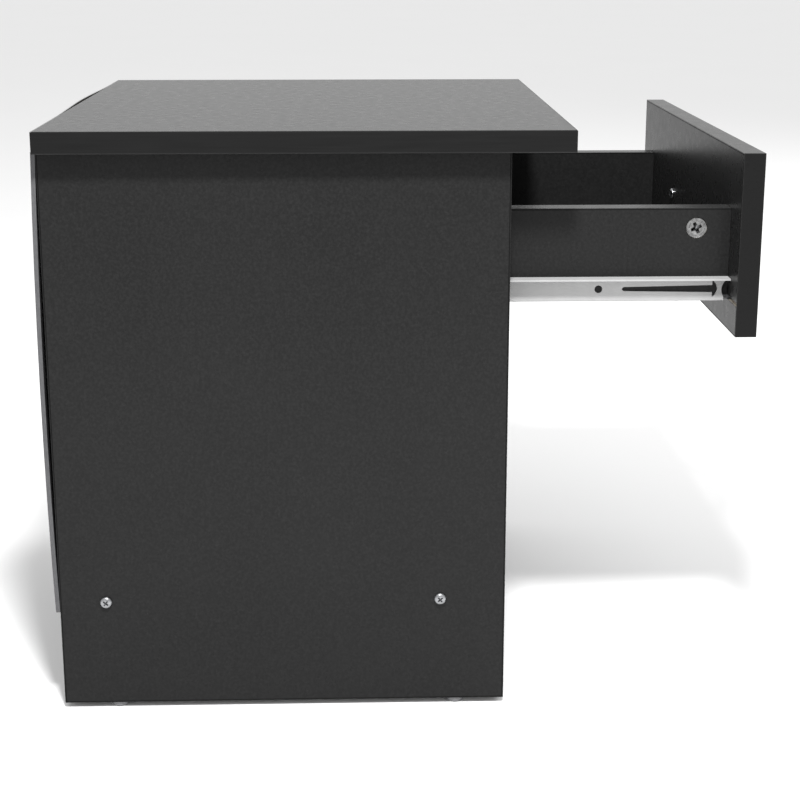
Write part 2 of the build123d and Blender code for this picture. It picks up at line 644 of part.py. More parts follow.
with BuildPart() as drawer_bottom:
    with BuildSketch(Plane.XY.offset(DRAWER_BOTTOM_Z)):
        with Locations((0, DRAWER_Y + (BOX_DEPTH - 8.0) / 2)):
            Rectangle(2 * DRAWER_X, BOX_DEPTH + 8.0)
    extrude(amount=HARDBOARD)
    for _, side in SIDES:
        flange_points = [(side * (DRAWER_X - 6.5), DRAWER_Y + d, DRAWER_BOTTOM_Z) for d in FLANGE_SCREW_DEPTHS]
        drill(flange_points, UP, 3.2, HARDBOARD)
    drill(bottom_nail_points, UP, 1.4, HARDBOARD)
drawer_bottom.part.label = "drawer_bottom"
export_step(drawer_bottom.part, "parts/drawer_bottom.step")

# Fittings of the drawer box
with BuildPart() as drawer_cam_locks:
    for _, side in SIDES:
        seat = Plane(
            origin=(side * DRAWER_X, DRAWER_Y + CAM_BACKSET, DRAWER_CAM_Z), x_dir=FRONTWARD, z_dir=(side, 0, 0)
        )
        with Locations(seat):
            add(cam)
drawer_cam_locks.part.label = "drawer_cam_locks"
export_step(drawer_cam_locks.part, "parts/drawer_cam_locks.step")

with BuildPart() as drawer_cam_bolts:
    place(bolt, drawer_bolt_points, BACKWARD)
drawer_cam_bolts.part.label = "drawer_cam_bolts"
export_step(drawer_cam_bolts.part, "parts/drawer_cam_bolts.step")

with BuildPart() as drawer_dowels:
    place(peg, [(x, y + 19.0, z) for x, y, z in drawer_dowel_points], FRONTWARD)
drawer_dowels.part.label = "drawer_dowels"
export_step(drawer_dowels.part, "parts/drawer_dowels.step")

with BuildPart() as drawer_back_screws:
    for _, side in SIDES:
        head_points = [(side * DRAWER_X, back_end_y, level) for level in BACK_SCREW_LEVELS]
        place(box_screw, head_points, (side, 0, 0))
drawer_back_screws.part.label = "drawer_back_screws"
export_step(drawer_back_screws.part, "parts/drawer_back_screws.step")

with BuildPart() as drawer_bottom_nails:
    place(bottom_nail, bottom_nail_points, DOWN)
drawer_bottom_nails.part.label = "drawer_bottom_nails"
export_step(drawer_bottom_nails.part, "parts/drawer_bottom_nails.step")

# Handle: one rod bent to a D, screwed on through the drawer front
handle_face_y = DRAWER_Y - BOARD
rod_y = handle_face_y - HANDLE_REACH + HANDLE_ROD / 2
with BuildPart() as handle:
    with BuildLine() as rod_line:
        FilletPolyline(
            (-HANDLE_CENTRES / 2, handle_face_y, HANDLE_Z),
            (-HANDLE_CENTRES / 2, rod_y, HANDLE_Z),
            (HANDLE_CENTRES / 2, rod_y, HANDLE_Z),
            (HANDLE_CENTRES / 2, handle_face_y, HANDLE_Z),
            radius=11.0,
        )
    with BuildSketch(Plane(origin=rod_line.line @ 0, z_dir=FRONTWARD)):
        Circle(HANDLE_ROD / 2)
    sweep()
    drill([(x, handle_face_y, z) for x, _, z in handle_points], FRONTWARD, 4.0, 8.0)
handle.part.label = "handle"
export_step(handle.part, "parts/handle.step")

with BuildPart() as handle_screws:
    place(handle_screw, handle_points, BACKWARD)
handle_screws.part.label = "handle_screws"
export_step(handle_screws.part, "parts/handle_screws.step")
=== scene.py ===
"""Bedside table with one drawer: its finishes, its visible fittings and the studio round it."""

import math

import bmesh
import bpy
from bpy.props import FloatProperty, FloatVectorProperty, PointerProperty
from mathutils import Matrix, Vector


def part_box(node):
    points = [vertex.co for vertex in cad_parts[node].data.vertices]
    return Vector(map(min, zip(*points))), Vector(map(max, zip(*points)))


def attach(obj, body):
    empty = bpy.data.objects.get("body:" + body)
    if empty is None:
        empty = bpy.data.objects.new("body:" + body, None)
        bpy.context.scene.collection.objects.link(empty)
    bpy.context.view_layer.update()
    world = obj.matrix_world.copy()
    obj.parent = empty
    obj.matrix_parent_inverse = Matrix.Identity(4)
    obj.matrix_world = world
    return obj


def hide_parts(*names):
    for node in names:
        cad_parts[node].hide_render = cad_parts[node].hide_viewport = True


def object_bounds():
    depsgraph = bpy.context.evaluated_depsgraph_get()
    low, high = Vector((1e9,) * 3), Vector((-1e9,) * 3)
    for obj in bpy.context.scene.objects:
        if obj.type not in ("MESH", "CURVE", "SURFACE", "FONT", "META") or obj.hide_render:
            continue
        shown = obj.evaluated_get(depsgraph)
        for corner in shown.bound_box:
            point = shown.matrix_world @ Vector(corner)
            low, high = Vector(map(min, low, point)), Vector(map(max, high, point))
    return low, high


bl_info = {
    "name": "Bedside table",
    "version": (1, 0, 0),
    "blender": (4, 5, 0),
    "location": "View3D > Sidebar > Bedside table",
    "description": "Finishes, fittings and studio of a bedside table with one drawer",
    "category": "Object",
}

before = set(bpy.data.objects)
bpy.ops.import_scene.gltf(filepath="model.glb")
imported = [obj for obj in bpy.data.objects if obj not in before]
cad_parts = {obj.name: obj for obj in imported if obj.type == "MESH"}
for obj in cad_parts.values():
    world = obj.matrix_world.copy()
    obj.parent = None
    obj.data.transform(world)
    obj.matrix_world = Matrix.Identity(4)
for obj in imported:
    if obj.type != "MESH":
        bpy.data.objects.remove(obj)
CAD_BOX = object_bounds()

MM = 0.001
X, Y, Z = range(3)
SMOOTH_ANGLE = math.radians(35)

# the Mix node's inputs for its factor, numbers and colours, and what makes it mix colours
FACTOR, NUMBER_A, NUMBER_B, COLOUR_A, COLOUR_B = 0, 2, 3, 6, 7
COLOURS = {"out": 2, "data_type": "RGBA"}
# most of a noise's values lie between these two
NOISE_LOW, NOISE_HIGH = 0.3, 0.7

MELAMINE_ROUGHNESS = 0.28
# melamine resin and ABS: a finely textured skin mirrors less than a clear one does
RESIN_IOR = 1.5
RESIN_SPECULAR = 0.12
PAINT_SPECULAR = 0.3
# the widths of the clouds that the print's flecks gather in, of the slow drift of tone across a
# sheet, of the waves that the chips raise in its face, and of a chip
PRINT_WIDTH = 2.0 * MM
SHEET_DRIFT = 90 * MM
CHIP_WAVE = 7 * MM
CHIP_WIDTH = 2.2 * MM
# the real paper is 0.1 mm, drawn thick enough to show on a sawn side
PAPER_THICKNESS = 0.3 * MM
# a surface deeper than this inside a board is a cut or a hole
CUT_DEPTH = 0.6 * MM
# the real glue line is 0.1 mm, drawn wide enough to show
GLUE_LINE = 0.45 * MM
# the lines along a band are 0.2 mm wide, drawn wider so that they show
BAND_LINE_WIDTH = 1.1 * MM
BAND_LINE_LENGTH = 40 * MM
# the dowels' grain lies in level streaks, long sideways and thin upwards
GRAIN_ACROSS = 6 * MM
GRAIN_UP = 0.8 * MM
# bundles of hardboard fibres, as they show on a sawn edge
FIBRE_WIDTH = 0.9 * MM
FIBRE_LENGTH = 4 * MM
# the screen's wires stand 1.6 mm apart, drawn at 2.2 mm so that they show
WIRE_PITCH = 2.2 * MM


def linear(code):
    """The linear colour of an sRGB hex value such as "2b2c2e"."""
    channels = [int(code[i : i + 2], 16) / 255 for i in (0, 2, 4)]
    return [c / 12.92 if c <= 0.04045 else ((c + 0.055) / 1.055) ** 2.4 for c in channels]


def lo(node):
    """A node's lowest corner."""
    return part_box(node)[0]


def hi(node):
    """A node's highest corner."""
    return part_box(node)[1]


# ---------------------------------------------------------------- nodes


def add(tree, kind, inputs=(), out=0, **settings):
    """Adds a shader node with its settings, and returns one of its outputs. An input takes a
    constant or another node's output."""
    node = tree.nodes.new("ShaderNode" + kind)
    for name, value in settings.items():
        setattr(node, name, value)
    pairs = inputs.items() if isinstance(inputs, dict) else enumerate(inputs)
    for key, value in pairs:
        if isinstance(value, bpy.types.NodeSocket):
            tree.links.new(value, node.inputs[key])
        else:
            node.inputs[key].default_value = value
    return node.outputs[out] if node.outputs else None


def shade(colour, factor):
    """A colour made darker or lighter by a factor, with its alpha."""
    return [*(factor * v for v in colour[:3]), 1.0]


def shades(colour, dark, light):
    """A colour's darker and lighter neighbours, as the two colours a Mix node takes."""
    return {COLOUR_A: shade(colour, dark), COLOUR_B: shade(colour, light)}


def start_material(name):
    """A new material, its emptied tree, and the position in the rest frame, in metres."""
    material = bpy.data.materials.new(name)
    material.use_nodes = True
    tree = material.node_tree
    tree.nodes.clear()
    return material, tree, add(tree, "TexCoord", out="Object")


def dress(material, *nodes):
    """Gives a material to CAD nodes, in every slot they have."""
    for node in nodes:
        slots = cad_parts[node].material_slots
        if not slots:
            raise RuntimeError(f"{node} has no material slot")
        for entry in slots:
            entry.material = material


# ---------------------------------------------------------------- mesh helpers


def new_piece(name, mesh_data, material, body, slot, *replaced):
    """Makes an object of a finished bmesh, smooth up to 35 degrees, riding on a body."""
    mesh = bpy.data.meshes.new(name)
    bmesh.ops.remove_doubles(mesh_data, verts=mesh_data.verts, dist=1e-7)
    bmesh.ops.recalc_face_normals(mesh_data, faces=mesh_data.faces)
    for face in mesh_data.faces:
        face.smooth = True
    for edge in mesh_data.edges:
        edge.smooth = len(edge.link_faces) == 2 and edge.calc_face_angle() < SMOOTH_ANGLE
    mesh_data.to_mesh(mesh)
    mesh_data.free()
    piece = bpy.data.objects.new(name, mesh)
    bpy.context.scene.collection.objects.link(piece)
    mesh.materials.append(material)
    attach(piece, body)
    if replaced:
        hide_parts(*replaced)
    return piece


def lathe(mesh_data, profile, segments, matrix):
    """Turns a profile of (radius, height) points round Z, and places it. An end on the axis is
    closed."""
    rings = []
    for radius, height in profile:
        if radius < 1e-9:
            rings.append([mesh_data.verts.new(matrix @ Vector((0, 0, height)))])
            continue
        ring = []
        for i in range(segments):
            turn = 2 * math.pi * i / segments
            spot = Vector((radius * math.cos(turn), radius * math.sin(turn), height))
            ring.append(mesh_data.verts.new(matrix @ spot))
        rings.append(ring)
    for lower, upper in zip(rings, rings[1:]):
        for i in range(segments):
            j = (i + 1) % segments
            below = (lower[i % len(lower)], lower[j % len(lower)])
            above = (upper[j % len(upper)], upper[i % len(upper)])
            # a ring of one point gives a triangle
            loop = list(dict.fromkeys(below + above))
            if len(loop) > 2:
                mesh_data.faces.new(loop)


def towards(point, direction, turn=0.0):
    """A matrix that puts a piece's Z along a direction at a point, after turning it about its own
    axis."""
    facing = Vector(direction).to_track_quat("Z", "Y").to_matrix().to_4x4()
    return Matrix.Translation(point) @ facing @ Matrix.Rotation(turn, 4, "Z")


def cut(piece, cutter_data):
    """Cuts a closed bmesh out of a bmesh, and returns the result."""
    objects = []
    for name, data in (("blank", piece), ("cutter", cutter_data)):
        bmesh.ops.recalc_face_normals(data, faces=data.faces)
        mesh = bpy.data.meshes.new(name)
        data.to_mesh(mesh)
        data.free()
        made = bpy.data.objects.new(name, mesh)
        bpy.context.scene.collection.objects.link(made)
        objects.append(made)
    blank, cutter = objects
    tool = blank.modifiers.new("cut", "BOOLEAN")
    tool.operation = "DIFFERENCE"
    tool.solver = "EXACT"
    tool.object = cutter
    depsgraph = bpy.context.evaluated_depsgraph_get()
    mesh = bpy.data.meshes.new_from_object(blank.evaluated_get(depsgraph))
    result = bmesh.new()
    result.from_mesh(mesh)
    for made in objects:
        spare = made.data
        bpy.data.objects.remove(made)
        bpy.data.meshes.remove(spare)
    bpy.data.meshes.remove(mesh)
    return result


def cross_cutter(reach, wing, depth, top, matrix):
    """A tapered four-winged driver point, standing on its tip, as a closed bmesh."""
    data = bmesh.new()
    # (height, share of the reach)
    levels = ((top, 1.06), (0.0, 1.0), (-0.55 * depth, 0.78), (-depth, 0.42))
    loops = []
    for height, share in levels:
        out = reach * share
        half = wing / 2 * (0.55 + 0.45 * share)
        core = half * 1.45
        quarter = [(out, -half), (out, half), (core, half * 1.1), (half * 1.1, core)]
        loop = []
        for k in range(4):
            c, s = math.cos(k * math.pi / 2), math.sin(k * math.pi / 2)
            for x, y in quarter:
                loop.append(data.verts.new(matrix @ Vector((c * x - s * y, s * x + c * y, height))))
        loops.append(loop)
    tip = data.verts.new(matrix @ Vector((0, 0, -depth - 0.5 * wing)))
    count = len(loops[0])
    for upper, lower in zip(loops, loops[1:]):
        for i in range(count):
            j = (i + 1) % count
            data.faces.new((upper[i], upper[j], lower[j], lower[i]))
    for i in range(count):
        data.faces.new((loops[-1][i], loops[-1][(i + 1) % count], tip))
    data.faces.new(loops[0])
    return data


def merge(data, other):
    """Adds one bmesh's geometry to another, and frees it."""
    mesh = bpy.data.meshes.new("part")
    other.to_mesh(mesh)
    other.free()
    data.from_mesh(mesh)
    bpy.data.meshes.remove(mesh)


# ---------------------------------------------------------------- properties


class BoardSettings(bpy.types.PropertyGroup):
    """The boards' colours and grain."""

    melamine: FloatVectorProperty(
        name="Melamine",
        description="Colour of the melamine faces",
        subtype="COLOR",
        size=3,
        min=0,
        max=1,
        default=linear("1a1a1a"),
    )
    band: FloatVectorProperty(
        name="Edge band",
        description="Colour of the bands glued to the boards' narrow faces",
        subtype="COLOR",
        size=3,
        min=0,
        max=1,
        default=linear("141414"),
    )
    core: FloatVectorProperty(
        name="Core",
        description="Colour of the raw particle board",
        subtype="COLOR",
        size=3,
        min=0,
        max=1,
        default=linear("d0cac0"),
    )
    hardboard: FloatVectorProperty(
        name="Hardboard",
        description="Colour of the painted back and drawer bottom",
        subtype="COLOR",
        size=3,
        min=0,
        max=1,
        default=linear("2e2e2f"),
    )
    grain: FloatProperty(
        name="Grain",
        description="Width of one pebble of the melamine's pressed texture",
        unit="LENGTH",
        min=0.0002,
        max=0.005,
        default=1.3 * MM,
    )
    band_thickness: FloatProperty(
        name="Band thickness",
        description="Thickness of the edge bands",
        unit="LENGTH",
        min=0.0003,
        max=0.003,
        default=0.8 * MM,
    )


class FittingSettings(bpy.types.PropertyGroup):
    """The fittings' colours and sizes."""

    plated: FloatVectorProperty(
        name="Zinc plate",
        description="Colour of the plated screws",
        subtype="COLOR",
        size=3,
        min=0,
        max=1,
        default=linear("9b9c9e"),
    )
    cast: FloatVectorProperty(
        name="Cast zinc",
        description="Colour of the cam locks",
        subtype="COLOR",
        size=3,
        min=0,
        max=1,
        default=linear("9c9c9c"),
    )
    runner: FloatVectorProperty(
        name="Runner coat",
        description="Colour of the powder coat on the runners",
        subtype="COLOR",
        size=3,
        min=0,
        max=1,
        default=linear("a2a2a2"),
    )
    nickel: FloatVectorProperty(
        name="Handle",
        description="Colour of the satin nickel handle",
        subtype="COLOR",
        size=3,
        min=0,
        max=1,
        default=linear("b9b6b0"),
    )
    glide: FloatVectorProperty(
        name="Glides",
        description="Colour of the plastic glides",
        subtype="COLOR",
        size=3,
        min=0,
        max=1,
        default=linear("68686a"),
    )
    recess_depth: FloatProperty(
        name="Recess depth",
        description="Depth of the cross recess in a screw head",
        unit="LENGTH",
        min=0.0005,
        max=0.004,
        default=2.0 * MM,
    )


class StudioSettings(bpy.types.PropertyGroup):
    """The floor, lights and camera."""

    floor: FloatVectorProperty(
        name="Floor",
        description="Colour of the floor",
        subtype="COLOR",
        size=3,
        min=0,
        max=1,
        default=linear("ececec"),
    )
    sky: FloatProperty(
        name="Room light",
        description="Brightness of the white room all round",
        min=0,
        max=5,
        default=0.97,
    )
    key: FloatProperty(
        name="Key light",
        description="Power of the soft light above the camera",
        unit="POWER",
        min=0,
        max=500,
        default=29.0,
    )
    fill: FloatProperty(
        name="Fill light",
        description="Power of the large light in front of the drawer",
        unit="POWER",
        min=0,
        max=500,
        default=30.0,
    )
    lens: FloatProperty(
        name="Lens",
        description="Focal length on a 36 mm sensor",
        subtype="NONE",
        min=10,
        max=200,
        default=68.4,
    )


# ---------------------------------------------------------------- board finishes

# node: (thin axis, banded sides, raw sides), where a side is an axis and whether it is the high one
BOARDS = {
    "top_panel": (Z, (), ((X, 0), (X, 1), (Y, 0), (Y, 1))),
    "side_panel_left": (X, ((Y, 0), (Y, 1), (Z, 0)), ((Z, 1),)),
    "side_panel_right": (X, ((Y, 0), (Y, 1), (Z, 0)), ((Z, 1),)),
    "bottom_shelf": (Z, ((Y, 0),), ((X, 0), (X, 1), (Y, 1))),
    "drawer_front": (Y, ((X, 0), (X, 1), (Z, 0), (Z, 1)), ()),
    "drawer_side_left": (X, ((Z, 1),), ((Y, 1), (Y, 0), (Z, 0))),
    "drawer_side_right": (X, ((Z, 1),), ((Y, 1), (Y, 0), (Z, 0))),
    "drawer_back": (Y, ((Z, 1),), ((X, 0), (X, 1), (Z, 0))),
}


def depth_behind(tree, depths, sides):
    """How deep a point lies behind the nearest of some sides, in metres."""
    found = 1.0
    for axis, high in sides:
        found = add(tree, "Math", (depths[high][axis], found), operation="MINIMUM")
    return found


def melamine_material(node, settings):
    """Charcoal melamine board: particle board faced with resin-soaked paper that a pebbled steel
    plate pressed, so it is a satin near-black that turns grey and glossy at a low angle. Its narrow
    faces carry a smoother, blacker band, which shows as a hair line along the face, and what is
    sawn or drilled and not banded shows pale chips."""
    thin, banded, raw = BOARDS[node]
    material, tree, place = start_material("Melamine board " + node.replace("_", " "))
    low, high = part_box(node)
    from_low = add(tree, "VectorMath", (place, list(low)), operation="SUBTRACT")
    from_high = add(tree, "VectorMath", (list(high), place), operation="SUBTRACT")
    nearest = add(tree, "VectorMath", (from_low, from_high), operation="MINIMUM")
    depths = []
    for vector in (from_low, from_high, nearest):
        depths.append([add(tree, "SeparateXYZ", (vector,), out=axis) for axis in (X, Y, Z)])

    # of a point's three depths the least is how far it is inside the board, and the next is its
    # distance to an arris
    a, b, c = depths[2]
    least = add(tree, "Math", (a, b), operation="MINIMUM")
    most = add(tree, "Math", (a, b), operation="MAXIMUM")
    inside = add(tree, "Math", (least, c), operation="MINIMUM")
    inner = add(tree, "Math", (most, c), operation="MINIMUM")
    to_arris = add(tree, "Math", (least, inner), operation="MAXIMUM")

    # the plate's pebbles at their real width, the paper's print, and the slow drift of tone across
    # a sheet
    pebbles = add(tree, "TexNoise", {"Vector": place, "Scale": 1 / settings.grain, "Detail": 2.0})
    flecks = {"Vector": place, "Scale": 1 / PRINT_WIDTH, "Detail": 4.0, "Roughness": 0.75}
    paper = add(tree, "TexNoise", flecks)
    drift = add(tree, "TexNoise", {"Vector": place, "Scale": 1 / SHEET_DRIFT, "Detail": 2.0})
    drift = add(tree, "MapRange", (drift, NOISE_LOW, NOISE_HIGH, 0.0, 1.0))
    colour = add(tree, "Mix", {FACTOR: drift, **shades(settings.melamine, 0.95, 1.06)}, **COLOURS)
    fleck = add(tree, "MapRange", (paper, 0.42, NOISE_HIGH, 0.0, 0.4))
    pale = shade(settings.melamine, 2.7)
    colour = add(tree, "Mix", {FACTOR: fleck, COLOUR_A: colour, COLOUR_B: pale}, **COLOURS)

    # the chips beneath show through the pressed face as faint waves, where its shine changes too
    swell = {"Vector": place, "Scale": 1 / CHIP_WAVE, "Detail": 3.0, "Roughness": 0.6}
    waves = add(tree, "TexNoise", swell)
    shiny, matt = MELAMINE_ROUGHNESS - 0.02, MELAMINE_ROUGHNESS + 0.03
    gloss = add(tree, "MapRange", (waves, NOISE_LOW, NOISE_HIGH, shiny, matt))
    height = add(tree, "Math", (waves, 0.15, pebbles), operation="MULTIPLY_ADD")

    dull = 0.0
    if banded:
        depth = depth_behind(tree, depths, banded)
        on_band = add(tree, "Math", (depth, settings.band_thickness), operation="LESS_THAN")
        to_glue = add(tree, "Math", (depth, settings.band_thickness + GLUE_LINE), operation="LESS_THAN")
        dull = add(tree, "Math", (to_glue, on_band), operation="SUBTRACT")
        band = add(tree, "Mix", {FACTOR: paper, **shades(settings.band, 0.85, 1.2)}, **COLOURS)
        glue = shade(settings.band, 0.3)
        colour = add(tree, "Mix", {FACTOR: to_glue, COLOUR_A: colour, COLOUR_B: glue}, **COLOURS)
        colour = add(tree, "Mix", {FACTOR: on_band, COLOUR_A: colour, COLOUR_B: band}, **COLOURS)

    # painted highlight: the arrises are made paler, in patches, where light catches them
    arris_highlight_falloff = add(tree, "MapRange", (to_arris, 0.15 * MM, 0.5 * MM, 1.0, 0.0))
    patch = add(tree, "MapRange", (paper, 0.35, 0.65, 0.1, 0.55))
    # painted highlight: this mask lays the paler colour along the arrises, in patches
    patchy = add(tree, "Math", (arris_highlight_falloff, patch), operation="MULTIPLY")
    # the painted highlight's colour along the arrises
    arris_highlight_colour = shade(settings.melamine, 3.4)
    colour = add(tree, "Mix", {FACTOR: patchy, COLOUR_A: colour, COLOUR_B: arris_highlight_colour}, **COLOURS)

    # bare chips: in every cut and hole, and on the sawn sides beneath the paper
    bare = add(tree, "Math", (inside, CUT_DEPTH), operation="GREATER_THAN")
    if raw:
        sawn = add(tree, "Math", (depth_behind(tree, depths, raw), 0.06 * MM), operation="LESS_THAN")
        beneath = add(tree, "Math", (depths[2][thin], PAPER_THICKNESS), operation="GREATER_THAN")
        sawn = add(tree, "Math", (sawn, beneath), operation="MULTIPLY")
        bare = add(tree, "Math", (bare, sawn), operation="MAXIMUM")
    chips = add(tree, "TexVoronoi", {"Vector": place, "Scale": 1 / CHIP_WIDTH}, out="Color")
    chips = add(tree, "SeparateColor", (chips,))
    core = add(tree, "Mix", {FACTOR: chips, **shades(settings.core, 0.7, 1.2)}, **COLOURS)
    colour = add(tree, "Mix", {FACTOR: bare, COLOUR_A: colour, COLOUR_B: core}, **COLOURS)
    dull = add(tree, "Math", (bare, dull), operation="MAXIMUM")
    gloss = add(tree, "Mix", {FACTOR: dull, NUMBER_A: gloss, NUMBER_B: 0.9})
    relief = add(tree, "Bump", {"Height": height, "Strength": 0.28, "Distance": 0.04 * MM})
    board = {"Base Color": colour, "Roughness": gloss, "Normal": relief}
    board.update({"IOR": RESIN_IOR, "Specular IOR Level": RESIN_SPECULAR})
    add(tree, "OutputMaterial", {"Surface": add(tree, "BsdfPrincipled", board)})
    return material


def band_material(node, settings, rim, rim_roughness):
    """Edge band: a thin strip of black ABS, ironed on and trimmed flush. It is smoother than the
    board's face, with faint lines along it from the rollers it was drawn through, and a painted
    highlight makes its foot paler, where light catches its lower arris. Rim is how much paler than
    its face its trimmed top edge is: where the band is bent it has gone white with the strain, and
    elsewhere the knife has left it dark and dull."""
    material, tree, place = start_material("ABS edge band " + node.replace("_", " "))
    stretch = [1 / BAND_LINE_LENGTH, 1 / BAND_LINE_LENGTH, 1 / BAND_LINE_WIDTH]
    stretched = add(tree, "Mapping", {"Vector": place, "Scale": stretch})
    drawn = add(tree, "TexNoise", {"Vector": stretched, "Scale": 1.0, "Detail": 3.0})
    skin = add(tree, "TexNoise", {"Vector": place, "Scale": 1 / BAND_LINE_WIDTH, "Detail": 2.0})
    colour = add(tree, "Mix", {FACTOR: drawn, **shades(settings.band, 0.8, 1.3)}, **COLOURS)
    low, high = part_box(node)
    level = add(tree, "SeparateXYZ", (place,), out=Z)
    from_top = add(tree, "Math", (high.z, level), operation="SUBTRACT")
    from_foot = add(tree, "Math", (level, low.z), operation="SUBTRACT")
    # painted highlight: the band's foot is made paler, where light catches its lower arris
    foot_highlight = add(tree, "MapRange", (from_foot, 0.3 * MM, 0.9 * MM, 0.7, 0.0))
    pale = shade(settings.band, 4.0)
    colour = add(tree, "Mix", {FACTOR: foot_highlight, COLOUR_A: colour, COLOUR_B: pale}, **COLOURS)
    gloss = add(tree, "MapRange", (drawn, NOISE_LOW, NOISE_HIGH, 0.29, 0.38))
    trimmed = add(tree, "MapRange", (from_top, 0.1 * MM, 0.4 * MM, 1.0, 0.0))
    gloss = add(tree, "Mix", {FACTOR: trimmed, NUMBER_A: gloss, NUMBER_B: rim_roughness})
    edge = shade(settings.band, rim)
    colour = add(tree, "Mix", {FACTOR: trimmed, COLOUR_A: colour, COLOUR_B: edge}, **COLOURS)
    relief = add(tree, "Bump", {"Height": skin, "Strength": 0.15, "Distance": 0.03 * MM})
    strip = {"Base Color": colour, "Roughness": gloss, "Normal": relief}
    strip.update({"IOR": RESIN_IOR, "Specular IOR Level": RESIN_SPECULAR})
    add(tree, "OutputMaterial", {"Surface": add(tree, "BsdfPrincipled", strip)})
    return material


def hardboard_material(name, settings, axis, smooth):
    """Hardboard: wood fibre pressed to a thin sheet. One face is rolled smooth and painted
    charcoal, the other keeps the woven mark of the press's wire screen, and the sawn edge is a
    paler fibrous grey. Axis is the one across the sheet, and smooth is 1 or -1 for the smooth
    face's side."""
    material, tree, place = start_material(name)
    normal = add(tree, "TexCoord", out="Normal")
    facing = add(tree, "SeparateXYZ", (normal,), out=axis)
    facing = add(tree, "Math", (facing, smooth), operation="MULTIPLY")
    on_smooth = add(tree, "Math", (facing, 0.5), operation="GREATER_THAN")
    on_screen = add(tree, "Math", (facing, -0.5), operation="LESS_THAN")
    on_face = add(tree, "Math", (on_smooth, on_screen), operation="ADD")
    stretch = [1 / FIBRE_WIDTH, 1 / FIBRE_WIDTH, 1 / FIBRE_LENGTH]
    stretched = add(tree, "Mapping", {"Vector": place, "Scale": stretch})
    fibre = add(tree, "TexNoise", {"Vector": stretched, "Scale": 1.0, "Detail": 4.0, "Roughness": 0.65})
    drift = add(tree, "TexNoise", {"Vector": place, "Scale": 1 / (60 * MM), "Detail": 3.0})
    paint = add(tree, "Mix", {FACTOR: drift, **shades(settings.hardboard, 0.85, 1.2)}, **COLOURS)
    edge = add(tree, "Mix", {FACTOR: fibre, **shades(settings.hardboard, 1.6, 4.2)}, **COLOURS)
    colour = add(tree, "Mix", {FACTOR: on_face, COLOUR_A: edge, COLOUR_B: paint}, **COLOURS)

    # the screen's mark: two sets of waves that cross
    waves = []
    for across in {X, Y, Z} - {axis}:
        spot = add(tree, "SeparateXYZ", (place,), out=across)
        turn = add(tree, "Math", (spot, 2 * math.pi / WIRE_PITCH), operation="MULTIPLY")
        waves.append(add(tree, "Math", (turn,), operation="SINE"))
    weave = add(tree, "Math", waves, operation="MULTIPLY")
    weave = add(tree, "Math", (weave, on_screen), operation="MULTIPLY")
    height = add(tree, "Math", (weave, fibre), operation="ADD")
    relief = add(tree, "Bump", {"Height": height, "Strength": 0.7, "Distance": 0.22 * MM})
    gloss = add(tree, "Mix", {FACTOR: on_smooth, NUMBER_A: 0.7, NUMBER_B: 0.45})
    sheet = {"Base Color": colour, "Roughness": gloss, "Normal": relief}
    sheet.update({"IOR": RESIN_IOR, "Specular IOR Level": PAINT_SPECULAR})
    add(tree, "OutputMaterial", {"Surface": add(tree, "BsdfPrincipled", sheet)})
    return material


# ---------------------------------------------------------------- fitting finishes


def metal_material(name, colour, roughness, grain, relief, stain):
    """A bare or plated metal: bright, with a fine tooth that spreads its highlights and patches a
    little dulled by handling. Grain is the width of the tooth in metres, relief its strength and
    stain how much the patches darken. The real tooth is finer than 0.1 mm, and is drawn as wide as
    it needs to show."""
    material, tree, place = start_material(name)
    tooth = add(tree, "TexNoise", {"Vector": place, "Scale": 1 / grain, "Detail": 3.0, "Roughness": 0.6})
    patch = add(tree, "TexNoise", {"Vector": place, "Scale": 1 / (4 * grain), "Detail": 2.0})
    patch = add(tree, "MapRange", (patch, 0.35, 0.65, 0.0, 1.0))
    tint = add(tree, "Mix", {FACTOR: patch, **shades(colour, 1 - stain, 1.0)}, **COLOURS)
    gloss = add(tree, "MapRange", (tooth, NOISE_LOW, NOISE_HIGH, 0.8 * roughness, 1.25 * roughness))
    bump = add(tree, "Bump", {"Height": tooth, "Strength": relief, "Distance": 0.04 * MM})
    metal = {"Base Color": tint, "Roughness": gloss, "Normal": bump, "Metallic": 1.0}
    add(tree, "OutputMaterial", {"Surface": add(tree, "BsdfPrincipled", metal)})
    return material


def coat_material(name, colour, roughness, grain, ior, soft=0.0):
    """A moulded plastic or baked powder coat: an even colour with a faint cloud in it, and a skin
    of low soft bumps, the mould's or the melted powder's, grain wide. Soft is how much light enters
    and leaves it elsewhere."""
    material, tree, place = start_material(name)
    skin = add(tree, "TexNoise", {"Vector": place, "Scale": 1 / grain, "Detail": 1.5})
    cloud = add(tree, "TexNoise", {"Vector": place, "Scale": 1 / (12 * MM), "Detail": 2.0})
    tint = add(tree, "Mix", {FACTOR: cloud, **shades(colour, 0.88, 1.06)}, **COLOURS)
    bump = add(tree, "Bump", {"Height": skin, "Strength": 0.2, "Distance": 0.04 * MM})
    coat = {"Base Color": tint, "Normal": bump, "Roughness": roughness, "IOR": ior}
    if soft:
        coat.update({"Subsurface Weight": soft, "Subsurface Scale": 1.5 * MM})
    add(tree, "OutputMaterial", {"Surface": add(tree, "BsdfPrincipled", coat)})
    return material


def beech_material():
    """Beech, turned for dowels: a warm pale wood, matt, with thin darker streaks of grain."""
    material, tree, place = start_material("Beech dowel")
    stretch = [1 / GRAIN_ACROSS, 1 / GRAIN_ACROSS, 1 / GRAIN_UP]
    along = add(tree, "Mapping", {"Vector": place, "Scale": stretch})
    rays = add(tree, "TexNoise", {"Vector": along, "Scale": 1.0, "Detail": 4.0, "Roughness": 0.6})
    colour = add(tree, "Mix", {FACTOR: rays, **shades(linear("c19d72"), 0.6, 1.3)}, **COLOURS)
    bump = add(tree, "Bump", {"Height": rays, "Strength": 0.3, "Distance": 0.08 * MM})
    wood = {"Base Color": colour, "Normal": bump, "Roughness": 0.62, "IOR": 1.5}
    add(tree, "OutputMaterial", {"Surface": add(tree, "BsdfPrincipled", wood)})
    return material


# ---------------------------------------------------------------- operators


